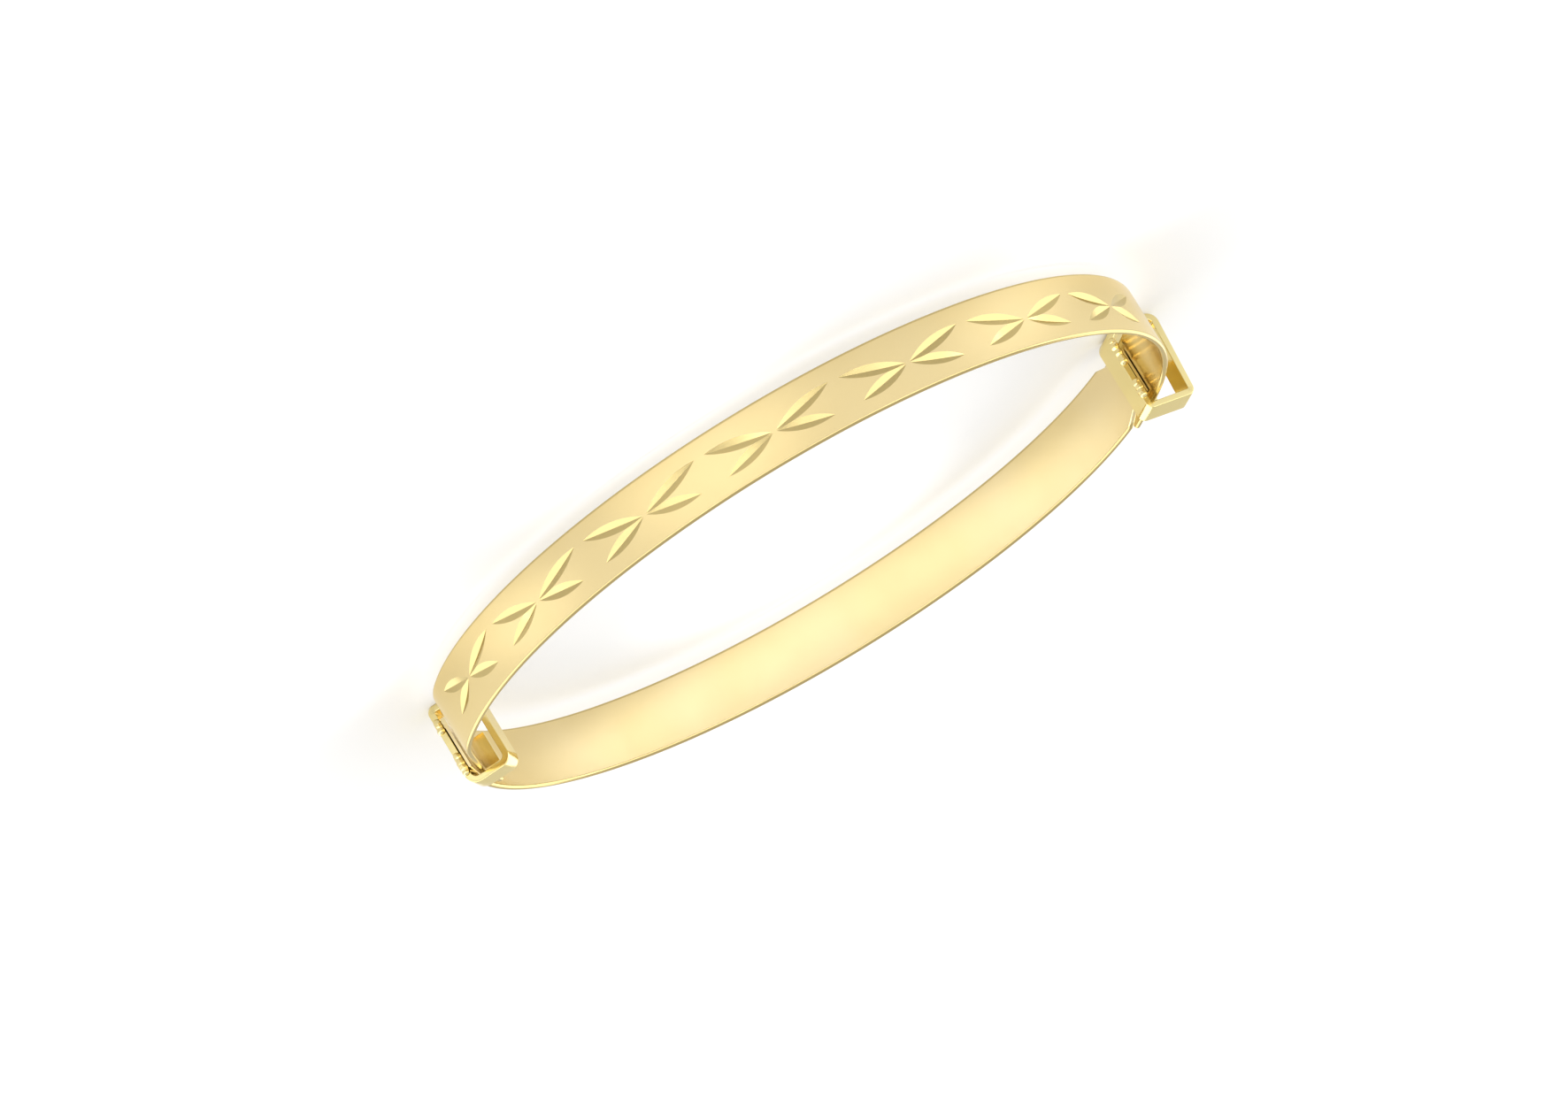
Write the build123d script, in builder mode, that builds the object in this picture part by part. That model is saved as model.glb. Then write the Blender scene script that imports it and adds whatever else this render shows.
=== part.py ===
"""Expanding bangle: two half bands joined by two keeper loops that let one half slide out of the other.

The ring lies flat: +Z is the ring's own axis, z = 0 is the plane that the keepers rest on, and the
origin is under the ring's centre. Angles run about the centre from -Y (the middle of the decorated
front) towards +X (the left keeper).
"""
from build123d import *
import os
from math import asin, cos, degrees, radians, sin, sqrt, tan

os.makedirs("parts", exist_ok=True)

# ---- Driving dimensions, millimetres and degrees ----
BAND_WIDTH = 4.0
BAND_THICKNESS = 0.38
EDGE_ROUND = 0.07
BACK_RADIUS = 22.82
BACK_CENTRE = Vector(0.04, 0.12)
FRONT_RADIUS = 23.06
FRONT_CENTRE = Vector(-0.21, 0)
INNER_STUB_RADIUS = 22.31
BEND_RADIUS = 10.0

LEFT_KEEPER_ANGLE = 104.5
RIGHT_KEEPER_ANGLE = -101.8
LEFT_KEEPER_HEIGHT = 5.3
RIGHT_KEEPER_HEIGHT = 5.6
LEFT_KEEPER_REACH = 2.9
RIGHT_KEEPER_REACH = 3.5
KEEPER_DEPTH = 2.0
KEEPER_WALL = 0.40
KEEPER_CORNER = 0.75
KEEPER_LIFT = 0.15
LEFT_KEEPER_OUTSIDE = 23.26
RIGHT_KEEPER_INSIDE = 22.44

TONGUE_THICKNESS = 0.16
TONGUE_WIDTH = 2.9
TONGUE_ROOT = 0.4
TAPER_LENGTH = 2.0
END_GAP = 0.02

TRAVEL = 2.2
STOP_PLAY = 0.11
BEND_LEAD = 0.2
STOP_THICKNESS = 0.24
STOP_WIDTH = 2.0
LEFT_STOP_HEIGHT = 0.40
RIGHT_STOP_HEIGHT = 1.68

MOTIF_COUNT = 7
MOTIF_SPACING = 21.5
MOTIF_MIDDLE = 7.0
MOTIF_LIFT = 0.12
MOTIF_DRIFT = 0.05
PETAL_SLOPE = 14.0
PETAL_GAP = 0.15
LOWER_PETAL_LENGTH = 4.0
UPPER_PETAL_LENGTH = 3.4
PETAL_DEPTH = 0.15
PETAL_HALF_ANGLE = 68.0
CUTTER_HEIGHT = 0.45

BEAD_HEIGHT = 0.20
BEAD_ROUND = 0.12
BEAD_BREADTH = 0.44
LEFT_BEAD_INSET = 0.02
LEFT_BEADS = ((-1.95, -1.00), (0.28, 1.78))
RIGHT_BEADS = ((-2.25, -0.45), (0.50, 1.75))

# ---- Worked out from them ----
band_middle = LEFT_KEEPER_HEIGHT / 2 + KEEPER_LIFT
half_band = BAND_THICKNESS / 2
half_depth = KEEPER_DEPTH / 2
right_stub_radius = FRONT_RADIUS + FRONT_CENTRE.X * sin(radians(RIGHT_KEEPER_ANGLE))
stub_length = half_depth + TRAVEL + STOP_PLAY + STOP_THICKNESS
up = Vector(0, 0, 1)


def polar(radius, angle, centre=Vector(0, 0)):
    """Point at a radius and an angle from -Y towards +X about a centre."""
    return centre + Vector(radius * sin(radians(angle)), -radius * cos(radians(angle)))


def keeper_plane(angle, radius, backward, height=band_middle):
    """Plane across the band at a keeper: x outwards, y along the ring's axis, z along the band."""
    outwards = polar(1, angle)
    along = up.cross(outwards) * (1 if angle > 0 else -1)
    centre = polar(radius, angle) + along * backward + up * height
    return Plane(origin=centre, x_dir=outwards, z_dir=along)


# ---- Front band: one long arc, a straight tail outside the right end of the back band, and a
# bend that carries the left tail inside the left end of the back band ----
right_along = keeper_plane(RIGHT_KEEPER_ANGLE, 0, 0).z_dir
right_tangent = polar(FRONT_RADIUS, RIGHT_KEEPER_ANGLE, FRONT_CENTRE)
right_tail_end = right_tangent + right_along * stub_length
left_bend_angle = LEFT_KEEPER_ANGLE - degrees(asin((half_depth + BEND_LEAD) / INNER_STUB_RADIUS))
left_tail_angle = LEFT_KEEPER_ANGLE + degrees(stub_length / INNER_STUB_RADIUS)
left_bend = polar(INNER_STUB_RADIUS, left_bend_angle)
left_tail_end = polar(INNER_STUB_RADIUS, left_tail_angle)
left_tail_middle = polar(INNER_STUB_RADIUS, (left_bend_angle + left_tail_angle) / 2)
left_outwards = polar(1, left_bend_angle)
line_distance = INNER_STUB_RADIUS - FRONT_CENTRE.dot(left_outwards)
corner_step = sqrt(FRONT_RADIUS**2 - line_distance**2)
left_forward = Vector(left_outwards.Y, -left_outwards.X)
left_corner = FRONT_CENTRE + left_outwards * line_distance + left_forward * corner_step
front_middle = polar(FRONT_RADIUS, 0, FRONT_CENTRE)


def petal_plane(angle, height, side, end, length):
    """Plane of the wheel that cuts one petal: x outwards through the petal's middle, z its axle."""
    reach = PETAL_GAP + length / 2
    along = reach * cos(radians(PETAL_SLOPE)) * end
    rise = reach * sin(radians(PETAL_SLOPE)) * side
    petal_angle = angle + degrees(along / (FRONT_RADIUS + half_band))
    outwards = polar(1, petal_angle)
    around = up.cross(outwards)
    run = around * (cos(radians(PETAL_SLOPE)) * end) + up * (sin(radians(PETAL_SLOPE)) * side)
    wheel = wheel_radius(length)
    centre = polar(FRONT_RADIUS + half_band + wheel - PETAL_DEPTH, petal_angle, FRONT_CENTRE)
    return Plane(origin=centre + up * (height + rise), x_dir=outwards, z_dir=outwards.cross(run))


def wheel_radius(length):
    """Radius of the wheel whose cut on the round band is this long at the petal's depth."""
    outer_radius = FRONT_RADIUS + half_band
    return 1 / (8 * PETAL_DEPTH / length**2 - 1 / outer_radius)


def petal_cutter(length):
    """Thin wheel with a V edge, its axle along Z and its centre at the origin."""
    rim = wheel_radius(length)
    spread = CUTTER_HEIGHT * tan(radians(PETAL_HALF_ANGLE))
    with BuildPart() as cutter:
        with BuildSketch(Plane.XZ):
            with BuildLine():
                Polyline((rim, 0), (rim - CUTTER_HEIGHT, spread), (rim - CUTTER_HEIGHT, -spread), close=True)
            make_face()
        revolve(axis=Axis.Z)
    return cutter.part


lower_cutter = petal_cutter(LOWER_PETAL_LENGTH)
upper_cutter = petal_cutter(UPPER_PETAL_LENGTH)

with BuildPart() as front_band:
    with BuildSketch(Plane.XY.offset(band_middle - BAND_WIDTH / 2)):
        with BuildLine() as front_path:
            Line(right_tail_end, right_tangent)
            ThreePointArc(right_tangent, front_middle, left_corner)
            Line(left_corner, left_bend)
            ThreePointArc(left_bend, left_tail_middle, left_tail_end)
            fillet(front_path.vertices().sort_by_distance(left_corner)[0], radius=BEND_RADIUS)
        trace(line_width=BAND_THICKNESS)
    extrude(amount=BAND_WIDTH)
    rims = front_band.faces().filter_by(Axis.Z)
    long_edges = rims.edges().filter_by(lambda edge: edge.length > 1)
    fillet(long_edges, radius=EDGE_ROUND)
    for motif in range(MOTIF_COUNT):
        from_middle = motif - (MOTIF_COUNT - 1) / 2
        motif_angle = MOTIF_MIDDLE + MOTIF_SPACING * from_middle
        motif_height = band_middle + MOTIF_LIFT - MOTIF_DRIFT * from_middle
        for end in (-1, 1):
            lower = petal_plane(motif_angle, motif_height, -1, end, LOWER_PETAL_LENGTH)
            upper = petal_plane(motif_angle, motif_height, 1, end, UPPER_PETAL_LENGTH)
            add(lower_cutter.moved(lower.location), mode=Mode.SUBTRACT)
            add(upper_cutter.moved(upper.location), mode=Mode.SUBTRACT)
front_band.part.label = "front_band"

# ---- Back band: one arc whose ends meet the keepers and thin down to soldered tongues ----
left_along = keeper_plane(LEFT_KEEPER_ANGLE, 0, 0).z_dir
left_start = half_depth - BACK_CENTRE.dot(left_along) + END_GAP
right_start = half_depth - BACK_CENTRE.dot(right_along) + END_GAP
left_back_angle = LEFT_KEEPER_ANGLE + degrees(asin(left_start / BACK_RADIUS))
right_back_angle = RIGHT_KEEPER_ANGLE - degrees(asin(right_start / BACK_RADIUS))

with BuildPart() as back_band:
    with BuildSketch(Plane.XY.offset(band_middle - BAND_WIDTH / 2)):
        with BuildLine():
            ThreePointArc(
                polar(BACK_RADIUS, left_back_angle, BACK_CENTRE),
                polar(BACK_RADIUS, 180, BACK_CENTRE),
                polar(BACK_RADIUS, right_back_angle, BACK_CENTRE),
            )
        trace(line_width=BAND_THICKNESS)
    extrude(amount=BAND_WIDTH)
    rims = back_band.faces().filter_by(Axis.Z)
    fillet(rims.edges().filter_by(lambda edge: edge.length > 1), radius=EDGE_ROUND)
    # The corners of both ends are filed back to the width of the tongues.
    for keeper_angle in (LEFT_KEEPER_ANGLE, RIGHT_KEEPER_ANGLE):
        end_plane = keeper_plane(keeper_angle, BACK_RADIUS, half_depth)
        for rim_side in (1, -1):
            with BuildSketch(Plane(origin=end_plane.origin, x_dir=end_plane.z_dir, z_dir=end_plane.x_dir)):
                with BuildLine():
                    Polyline(
                        (-half_depth, rim_side * TONGUE_WIDTH / 2),
                        (0, rim_side * TONGUE_WIDTH / 2),
                        (TAPER_LENGTH, rim_side * BAND_WIDTH / 2),
                        (TAPER_LENGTH, rim_side * BAND_WIDTH),
                        (-half_depth, rim_side * BAND_WIDTH),
                        close=True,
                    )
                make_face()
            extrude(amount=2 * BAND_THICKNESS, both=True, mode=Mode.SUBTRACT)
    left_tongue_face = LEFT_KEEPER_OUTSIDE - KEEPER_WALL - TONGUE_THICKNESS / 2
    right_tongue_face = RIGHT_KEEPER_INSIDE + KEEPER_WALL + TONGUE_THICKNESS / 2
    for keeper_angle, radius in (
        (LEFT_KEEPER_ANGLE, left_tongue_face), (RIGHT_KEEPER_ANGLE, right_tongue_face)
    ):
        with BuildSketch(keeper_plane(keeper_angle, radius, -half_depth)):
            Rectangle(TONGUE_THICKNESS, TONGUE_WIDTH)
        extrude(amount=KEEPER_DEPTH + TONGUE_ROOT)
back_band.part.label = "back_band"


# ---- Keepers: flat strip bent into a rectangle and closed, standing across the band ----
def keeper_frame(angle, radius, reach, height):
    """A rectangular loop of flat strip with rounded corners, the band's way through it along z."""
    with BuildPart() as frame:
        with BuildSketch(keeper_plane(angle, radius, -half_depth, height / 2)):
            RectangleRounded(reach, height, KEEPER_CORNER)
            offset(amount=-KEEPER_WALL, mode=Mode.SUBTRACT)
        extrude(amount=KEEPER_DEPTH)
        across = keeper_plane(angle, radius, 0).z_dir
        rims = frame.faces().filter_by(Axis(origin=(0, 0, 0), direction=across))
        fillet(rims.edges(), radius=EDGE_ROUND)
    return frame.part


with BuildPart() as left_keeper:
    left_radius = LEFT_KEEPER_OUTSIDE - LEFT_KEEPER_REACH / 2
    add(keeper_frame(LEFT_KEEPER_ANGLE, left_radius, LEFT_KEEPER_REACH, LEFT_KEEPER_HEIGHT))
left_keeper.part.label = "left_keeper"

with BuildPart() as right_keeper:
    right_radius = RIGHT_KEEPER_INSIDE + RIGHT_KEEPER_REACH / 2
    add(keeper_frame(RIGHT_KEEPER_ANGLE, right_radius, RIGHT_KEEPER_REACH, RIGHT_KEEPER_HEIGHT))
right_keeper.part.label = "right_keeper"


# ---- Solder beads on the keepers' front edges, where the tongues come through ----
def solder_beads(angle, radius, spans):
    """Low rounded beads on the keeper's front edge, one for each span along the ring's axis."""
    with BuildPart() as beads:
        for low, high in spans:
            plane = keeper_plane(angle, radius, -half_depth, band_middle + (low + high) / 2)
            with BuildSketch(plane):
                SlotOverall(high - low, BEAD_BREADTH, rotation=90)
            extrude(amount=-BEAD_HEIGHT)
        tops = beads.faces().filter_by(Axis(origin=(0, 0, 0), direction=plane.z_dir))
        crowns = tops.sort_by(lambda face: (face.center() - plane.origin).dot(plane.z_dir))[: len(spans)]
        fillet(crowns.edges(), radius=BEAD_ROUND)
    return beads.part


with BuildPart() as left_solder:
    add(solder_beads(LEFT_KEEPER_ANGLE, LEFT_KEEPER_OUTSIDE - KEEPER_WALL / 2 - LEFT_BEAD_INSET, LEFT_BEADS))
left_solder.part.label = "left_solder"

with BuildPart() as right_solder:
    add(solder_beads(RIGHT_KEEPER_ANGLE, RIGHT_KEEPER_INSIDE + KEEPER_WALL / 2, RIGHT_BEADS))
right_solder.part.label = "right_solder"

# ---- Stops: small plates soldered across the tails of the front band, behind the keepers ----
left_stop_angle = left_tail_angle - degrees(STOP_THICKNESS / 2 / INNER_STUB_RADIUS)
left_stop_top = INNER_STUB_RADIUS - half_band
left_stop_plane = Plane(
    origin=polar(left_stop_top - LEFT_STOP_HEIGHT / 2, left_stop_angle) + up * band_middle,
    x_dir=polar(1, left_stop_angle),
    z_dir=up,
)

with BuildPart() as left_stop:
    with BuildSketch(left_stop_plane):
        Rectangle(LEFT_STOP_HEIGHT, STOP_THICKNESS)
    extrude(amount=STOP_WIDTH / 2, both=True)
    fillet(left_stop.edges().filter_by(Axis.Z).sort_by_distance((0, 0, band_middle))[:2], EDGE_ROUND)
left_stop.part.label = "left_stop"

right_stop_foot = right_stub_radius + half_band
right_stop_plane = keeper_plane(
    RIGHT_KEEPER_ANGLE, right_stop_foot + RIGHT_STOP_HEIGHT / 2, stub_length - STOP_THICKNESS / 2
)

with BuildPart() as right_stop:
    with BuildSketch(right_stop_plane):
        Rectangle(RIGHT_STOP_HEIGHT, STOP_WIDTH)
    extrude(amount=STOP_THICKNESS / 2, both=True)
    fillet(right_stop.edges().filter_by(Axis.Z).sort_by_distance((0, 0, band_middle))[-2:], EDGE_ROUND)
right_stop.part.label = "right_stop"

for piece in (
    front_band, back_band, left_keeper, right_keeper, left_solder, right_solder, left_stop, right_stop
):
    export_step(piece.part, f"parts/{piece.part.label}.step")
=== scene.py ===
"""Expanding gold bangle: the finished pieces and the studio, built round the packed CAD frame."""

from math import asin, atan2, cos, pi, radians, sin, sqrt, tan

import bmesh
import bpy
from bpy.props import FloatProperty, FloatVectorProperty, IntProperty, PointerProperty
from mathutils import Matrix, Vector
from mathutils.geometry import delaunay_2d_cdt


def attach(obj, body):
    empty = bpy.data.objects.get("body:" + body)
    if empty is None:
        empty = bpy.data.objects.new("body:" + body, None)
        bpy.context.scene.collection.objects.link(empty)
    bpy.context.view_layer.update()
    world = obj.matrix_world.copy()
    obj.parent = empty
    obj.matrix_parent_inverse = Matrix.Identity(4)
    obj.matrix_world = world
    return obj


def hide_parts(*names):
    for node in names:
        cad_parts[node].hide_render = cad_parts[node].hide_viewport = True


bl_info = {
    "name": "Expanding gold bangle",
    "version": (1, 0, 0),
    "blender": (4, 5, 0),
    "location": "3D View > Sidebar > Bangle",
    "description": "Builds a cut-decorated expanding bangle and a pale studio round its CAD frame",
    "category": "Object",
}

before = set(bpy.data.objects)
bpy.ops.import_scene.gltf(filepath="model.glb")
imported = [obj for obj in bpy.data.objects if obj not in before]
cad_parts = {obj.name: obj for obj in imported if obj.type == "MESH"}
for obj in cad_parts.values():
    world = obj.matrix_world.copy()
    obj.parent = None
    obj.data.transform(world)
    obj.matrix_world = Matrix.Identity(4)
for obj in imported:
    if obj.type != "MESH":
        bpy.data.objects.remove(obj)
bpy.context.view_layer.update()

MM = 0.001
UP = Vector((0, 0, 1))

BACK_HALF = "back_half"
FRONT_HALF = "front_half"

BEND_LEAD = 0.2 * MM  # gap between the front band's bend and the left keeper
TONGUE_ROOT = 0.4 * MM  # length of a tongue that laps onto the back band
FINE_EDGE = 0.05 * MM  # rounding of the keepers' and the stops' edges


# ---------------------------------------------------------------------------------------------
# Settings
# ---------------------------------------------------------------------------------------------
def length(name, description, millimetres):
    """A length property, its default given in millimetres."""
    return FloatProperty(name=name, description=description, default=millimetres * MM, min=0.0,
                         precision=5, unit="LENGTH", subtype="DISTANCE")


def place(name, description, millimetres):
    """A position on the lying plane, its default given in millimetres."""
    return FloatVectorProperty(name=name, description=description, size=2, precision=5, unit="LENGTH",
                               default=[value * MM for value in millimetres])


def turn(name, description, angle):
    """An angle property, its default given in degrees."""
    return FloatProperty(name=name, description=description, default=radians(angle), subtype="ANGLE",
                         unit="ROTATION")


def tint(name, description, colour):
    """A linear colour property."""
    return FloatVectorProperty(name=name, description=description, size=3, subtype="COLOR",
                               default=colour, min=0.0, max=1.0)


class BandSettings(bpy.types.PropertyGroup):
    """Sizes shared by the two half bands."""

    width: length("Width", "Width of the strip along the ring's axis", 4.0)
    thickness: length("Thickness", "Thickness of the strip", 0.38)
    edge_round: length("Edge round", "Radius rolled onto the strip's long edges", 0.17)
    front_radius: length("Front radius", "Middle radius of the front band", 23.06)
    front_centre: place("Front centre", "Centre of the front band's arc", (-0.21, 0.0))
    tail_radius: length("Tail radius", "Middle radius of the left tail inside the back band", 22.31)
    bend_radius: length("Bend radius", "Radius of the bend before the left tail", 10.0)
    back_radius: length("Back radius", "Middle radius of the back band", 22.82)
    back_centre: place("Back centre", "Centre of the back band's arc", (0.04, 0.12))
    tail_past: length("Tail past keeper", "How far the front band's tails pass the keepers", 2.55)
    tongue_width: length("Tongue width", "Width of the back band's soldered tongues", 2.9)
    tongue_thickness: length("Tongue thickness", "Thickness of the tongues", 0.16)
    taper: length("Taper", "Length over which the back band narrows to a tongue", 2.0)


class MotifSettings(bpy.types.PropertyGroup):
    """The row of cut crosses on the front band."""

    count: IntProperty(name="Count", description="Number of crosses", default=7, min=1, max=12)
    spacing: turn("Spacing", "Angle between neighbouring crosses", 21.5)
    middle: turn("Middle", "Angle of the middle cross from the front", 7.0)
    lift: length("Lift", "Middle cross above the strip's middle", 0.12)
    drift: length("Drift", "How much lower each cross stands than its right neighbour", 0.05)
    slope: turn("Slope", "Slope of the petals to the band", 14.0)
    gap: length("Gap", "From the cross's centre to the petals' inner ends", 0.15)
    lower_petal: length("Lower petal", "Length of the petals on the lower side", 4.0)
    upper_petal: length("Upper petal", "Length of the petals on the upper side", 3.4)
    depth: length("Depth", "Depth of the cut at the petal's middle", 0.15)
    facet: turn("Facet angle", "Angle of the cut's two walls to the band's face", 22.0)


class KeeperSettings(bpy.types.PropertyGroup):
    """The two rectangular loops and their solder."""

    left_angle: turn("Left angle", "Angle of the left keeper from the front", 104.5)
    right_angle: turn("Right angle", "Angle of the right keeper from the front", -101.8)
    left_twist: turn("Left twist", "Small turn of the left keeper about its own upright axis", 5.3)
    left_height: length("Left height", "Left keeper's outside height along the ring's axis", 5.3)
    right_height: length("Right height", "Right keeper's outside height", 5.6)
    left_reach: length("Left reach", "Left keeper's outside depth across the strip", 2.9)
    right_reach: length("Right reach", "Right keeper's outside depth across the strip", 3.5)
    right_lean: length("Right lean", "How far the right keeper's outer bar leans in at its top", 0.4)
    right_drop: length("Right drop", "How far the right keeper's top bar drops at its inner end", 0.3)
    depth: length("Depth", "Width of the keeper's strip along the band", 2.0)
    wall: length("Wall", "Thickness of the keeper's strip", 0.40)
    corner: length("Corner", "Outside radius of the bent corners", 0.75)
    lift: length("Lift", "Band's middle above the keepers' middle", 0.15)
    left_outside: length("Left outside", "Radius of the left keeper's outer face", 23.26)
    right_inside: length("Right inside", "Radius of the right keeper's inner face", 22.44)
    bead_radius: length("Bead radius", "Radius of a solder grain", 0.26)
    left_stop: length("Left stop", "Height of the stop on the inner tail", 0.40)
    right_stop: length("Right stop", "Height of the stop on the outer tail", 1.68)
    stop_width: length("Stop width", "Width of both stops", 2.0)
    stop_thickness: length("Stop thickness", "Thickness of both stops", 0.24)


class GoldSettings(bpy.types.PropertyGroup):
    """Colours of the alloy and the solder, with painted shade on the rims and in the cuts."""

    pale: tint("Pale gold", "Colour of the polished strip", (0.77, 0.625, 0.33))
    warm: tint("Warm gold", "Deeper tone in the polish", (0.75, 0.59, 0.275))
    back_pale: tint("Back gold", "Colour of the plain back band", (0.78, 0.645, 0.365))
    back_warm: tint("Back gold, deep", "Deeper tone of the back band", (0.75, 0.60, 0.285))
    keeper_pale: tint("Keeper gold", "Colour of the keepers", (0.80, 0.68, 0.33))
    keeper_warm: tint("Keeper gold, deep", "Deeper tone of the keepers", (0.76, 0.645, 0.28))
    # rim: a darker gold painted on the rolled rims as shade, standing in for the darker surroundings the
    # rims mirror; the alloy is the same
    rim: tint("Rim painted shade", "Deeper tone of the bands' rolled rims", (0.53, 0.42, 0.19))
    # Painted shade: the cut petals get a gold much darker than the band's, standing in for the shade
    # inside the cuts
    bright: tint("Cut gold, shaded", "Colour of the cut petals, darkened as painted shade", (0.50, 0.40, 0.18))


class StageSettings(bpy.types.PropertyGroup):
    """Camera and light."""

    azimuth: turn("Azimuth", "Camera's angle from the front towards the left keeper", 11.2)
    elevation: turn("Elevation", "Camera's angle above the lying plane", 14.34)
    roll: turn("Roll", "Camera's roll about its own axis", 148.5)
    distance: FloatProperty(name="Distance", description="From the camera to the ring", default=0.994,
                            unit="LENGTH")
    lens: FloatProperty(name="Lens", description="Focal length", default=400.0, unit="CAMERA")


# ---------------------------------------------------------------------------------------------
# Geometry helpers
# ---------------------------------------------------------------------------------------------
def flat(vector):
    """A 3-D vector on the lying plane from a pair."""
    return Vector((vector[0], vector[1], 0.0))


def polar(radius, angle, centre=Vector((0, 0, 0))):
    """Point at a radius and an angle from -Y towards +X about a centre."""
    return centre + Vector((radius * sin(angle), -radius * cos(angle), 0.0))


def band_middle():
    """Height of the bands' middle above the lying plane."""
    keeper = bpy.context.scene.bangle_keepers
    return keeper.left_height / 2 + keeper.lift


def keeper_matrix(side, radius, backward, height):
    """Local frame at a keeper: x outwards, y along the ring's axis, z along the band to the back."""
    keeper = bpy.context.scene.bangle_keepers
    angle = keeper.left_angle if side > 0 else keeper.right_angle
    outwards = polar(1.0, angle)
    along = UP.cross(outwards) * side
    axis = along.cross(outwards)
    origin = polar(radius, angle) + along * backward + UP * height
    matrix = Matrix((outwards, axis, along)).transposed().to_4x4()
    matrix.translation = origin
    return matrix


def keeper_twist(side):
    """Small turn of the left keeper about its own upright axis."""
    keeper = bpy.context.scene.bangle_keepers
    if side < 0:
        return Matrix()
    centre = keeper_matrix(side, keeper.left_outside - keeper.left_reach / 2, 0.0, 0.0).translation
    spin = Matrix.Rotation(keeper.left_twist, 4, "Z")
    return Matrix.Translation(centre) @ spin @ Matrix.Translation(-centre)


class Run:
    """A straight or round stretch of a strip's middle line."""

    def __init__(self, start, end=None, centre=None, radius=0.0, first=0.0, last=0.0):
        self.centre, self.radius, self.first, self.last = centre, radius, first, last
        self.start, self.end = start, end
        self.length = (end - start).length if centre is None else radius * abs(last - first)

    def at(self, distance):
        """Point and outward direction at a distance from the run's start."""
        share = distance / self.length
        if self.centre is None:
            along = (self.end - self.start).normalized()
            return self.start.lerp(self.end, share), along.cross(UP)
        angle = self.first + (self.last - self.first) * share
        return polar(self.radius, angle, self.centre), polar(1.0, angle)


def front_runs():
    """Middle line of the front band, from the right tail's end to the left tail's end."""
    band, keeper = bpy.context.scene.bangle_bands, bpy.context.scene.bangle_keepers
    centre = flat(band.front_centre)
    tail = keeper.depth / 2 + band.tail_past
    tangent = polar(band.front_radius, keeper.right_angle, centre)
    backward = -UP.cross(polar(1.0, keeper.right_angle))
    bend_angle = keeper.left_angle - asin((keeper.depth / 2 + BEND_LEAD) / band.tail_radius)
    tail_angle = keeper.left_angle + tail / band.tail_radius
    outwards = polar(1.0, bend_angle)
    forward = outwards.cross(UP)
    inner = band.tail_radius - band.bend_radius - centre.dot(outwards)
    ahead = sqrt((band.front_radius - band.bend_radius) ** 2 - inner**2)
    bend_centre = centre + outwards * inner + forward * ahead
    to_bend = bend_centre - centre
    bend_start = atan2(to_bend.x, -to_bend.y)
    line_start = bend_centre + outwards * band.bend_radius
    line_end = polar(band.tail_radius, bend_angle)
    return [
        Run(tangent + backward * tail, tangent),
        Run(None, centre=centre, radius=band.front_radius, first=keeper.right_angle, last=bend_start),
        Run(None, centre=bend_centre, radius=band.bend_radius, first=bend_start, last=bend_angle),
        Run(line_start, line_end),
        Run(None, centre=Vector((0, 0, 0)), radius=band.tail_radius, first=bend_angle, last=tail_angle),
    ]


def along_runs(runs, distance):
    """Point and outward direction at a distance along a list of runs."""
    for run in runs[:-1]:
        if distance <= run.length:
            return run.at(distance)
        distance -= run.length
    return runs[-1].at(distance)


def stations(runs, step):
    """Distances along the runs, evenly spaced inside each run and with one at each joint."""
    marks, start = [0.0], 0.0
    for run in runs:
        count = max(2, round(run.length / step))
        marks += [start + run.length * (index + 1) / count for index in range(count)]
        start += run.length
    return marks


# ---------------------------------------------------------------------------------------------
# Geometry Nodes helpers
# ---------------------------------------------------------------------------------------------
class Tree:
    """Short way to write a node tree: sockets by name, nodes by type, links by order."""

    def __init__(self, name, kind, inputs, outputs):
        self.tree = bpy.data.node_groups.new(name, kind)
        for direction, sockets in (("INPUT", inputs), ("OUTPUT", outputs)):
            for label, socket_type, *default in sockets:
                socket = self.tree.interface.new_socket(
                    name=label, in_out=direction, socket_type=f"NodeSocket{socket_type}")
                if default:
                    socket.default_value = default[0]
        self.inputs = self.tree.nodes.new("NodeGroupInput").outputs
        self.outputs = self.tree.nodes.new("NodeGroupOutput").inputs

    def node(self, kind, *sources, **settings):
        """Adds a node, sets its properties and feeds its inputs, by position or as (name, source)."""
        return add_node(self.tree, kind, *sources, **settings)

    def give(self, label, source):
        """Links a source to one of the tree's outputs."""
        self.tree.links.new(source, self.outputs[label])


def add_node(tree, kind, *sources, **settings):
    """Adds a node to any tree. A source is a socket or a value; None leaves that input alone."""
    node = tree.nodes.new(kind)
    for key, value in settings.items():
        setattr(node, key, value)
    for index, source in enumerate(sources):
        label = index
        if isinstance(source, tuple) and len(source) == 2 and isinstance(source[0], str):
            label, source = source
        if source is None:
            continue
        if isinstance(source, bpy.types.NodeSocket):
            tree.links.new(source, node.inputs[label])
        else:
            node.inputs[label].default_value = source
    return node


def maths(tree, operation, *sources):
    """A Math node's value, for geometry or shader trees."""
    return add_node(tree, "ShaderNodeMath", *sources, operation=operation).outputs[0]


def tree_piece(name, tree, material, **values):
    """Evaluates a tree on an empty mesh and returns its result as a plain mesh object."""
    piece = bpy.data.objects.new(name, bpy.data.meshes.new(name))
    bpy.context.scene.collection.objects.link(piece)
    modifier = piece.modifiers.new("build", "NODES")
    modifier.node_group = tree
    by_name = {item.name: item.identifier for item in tree.interface.items_tree
               if item.in_out == "INPUT"}
    for label, value in values.items():
        modifier[by_name[label.replace("_", " ")]] = value
    modifier[by_name["Material"]] = material
    return plain(piece)


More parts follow.
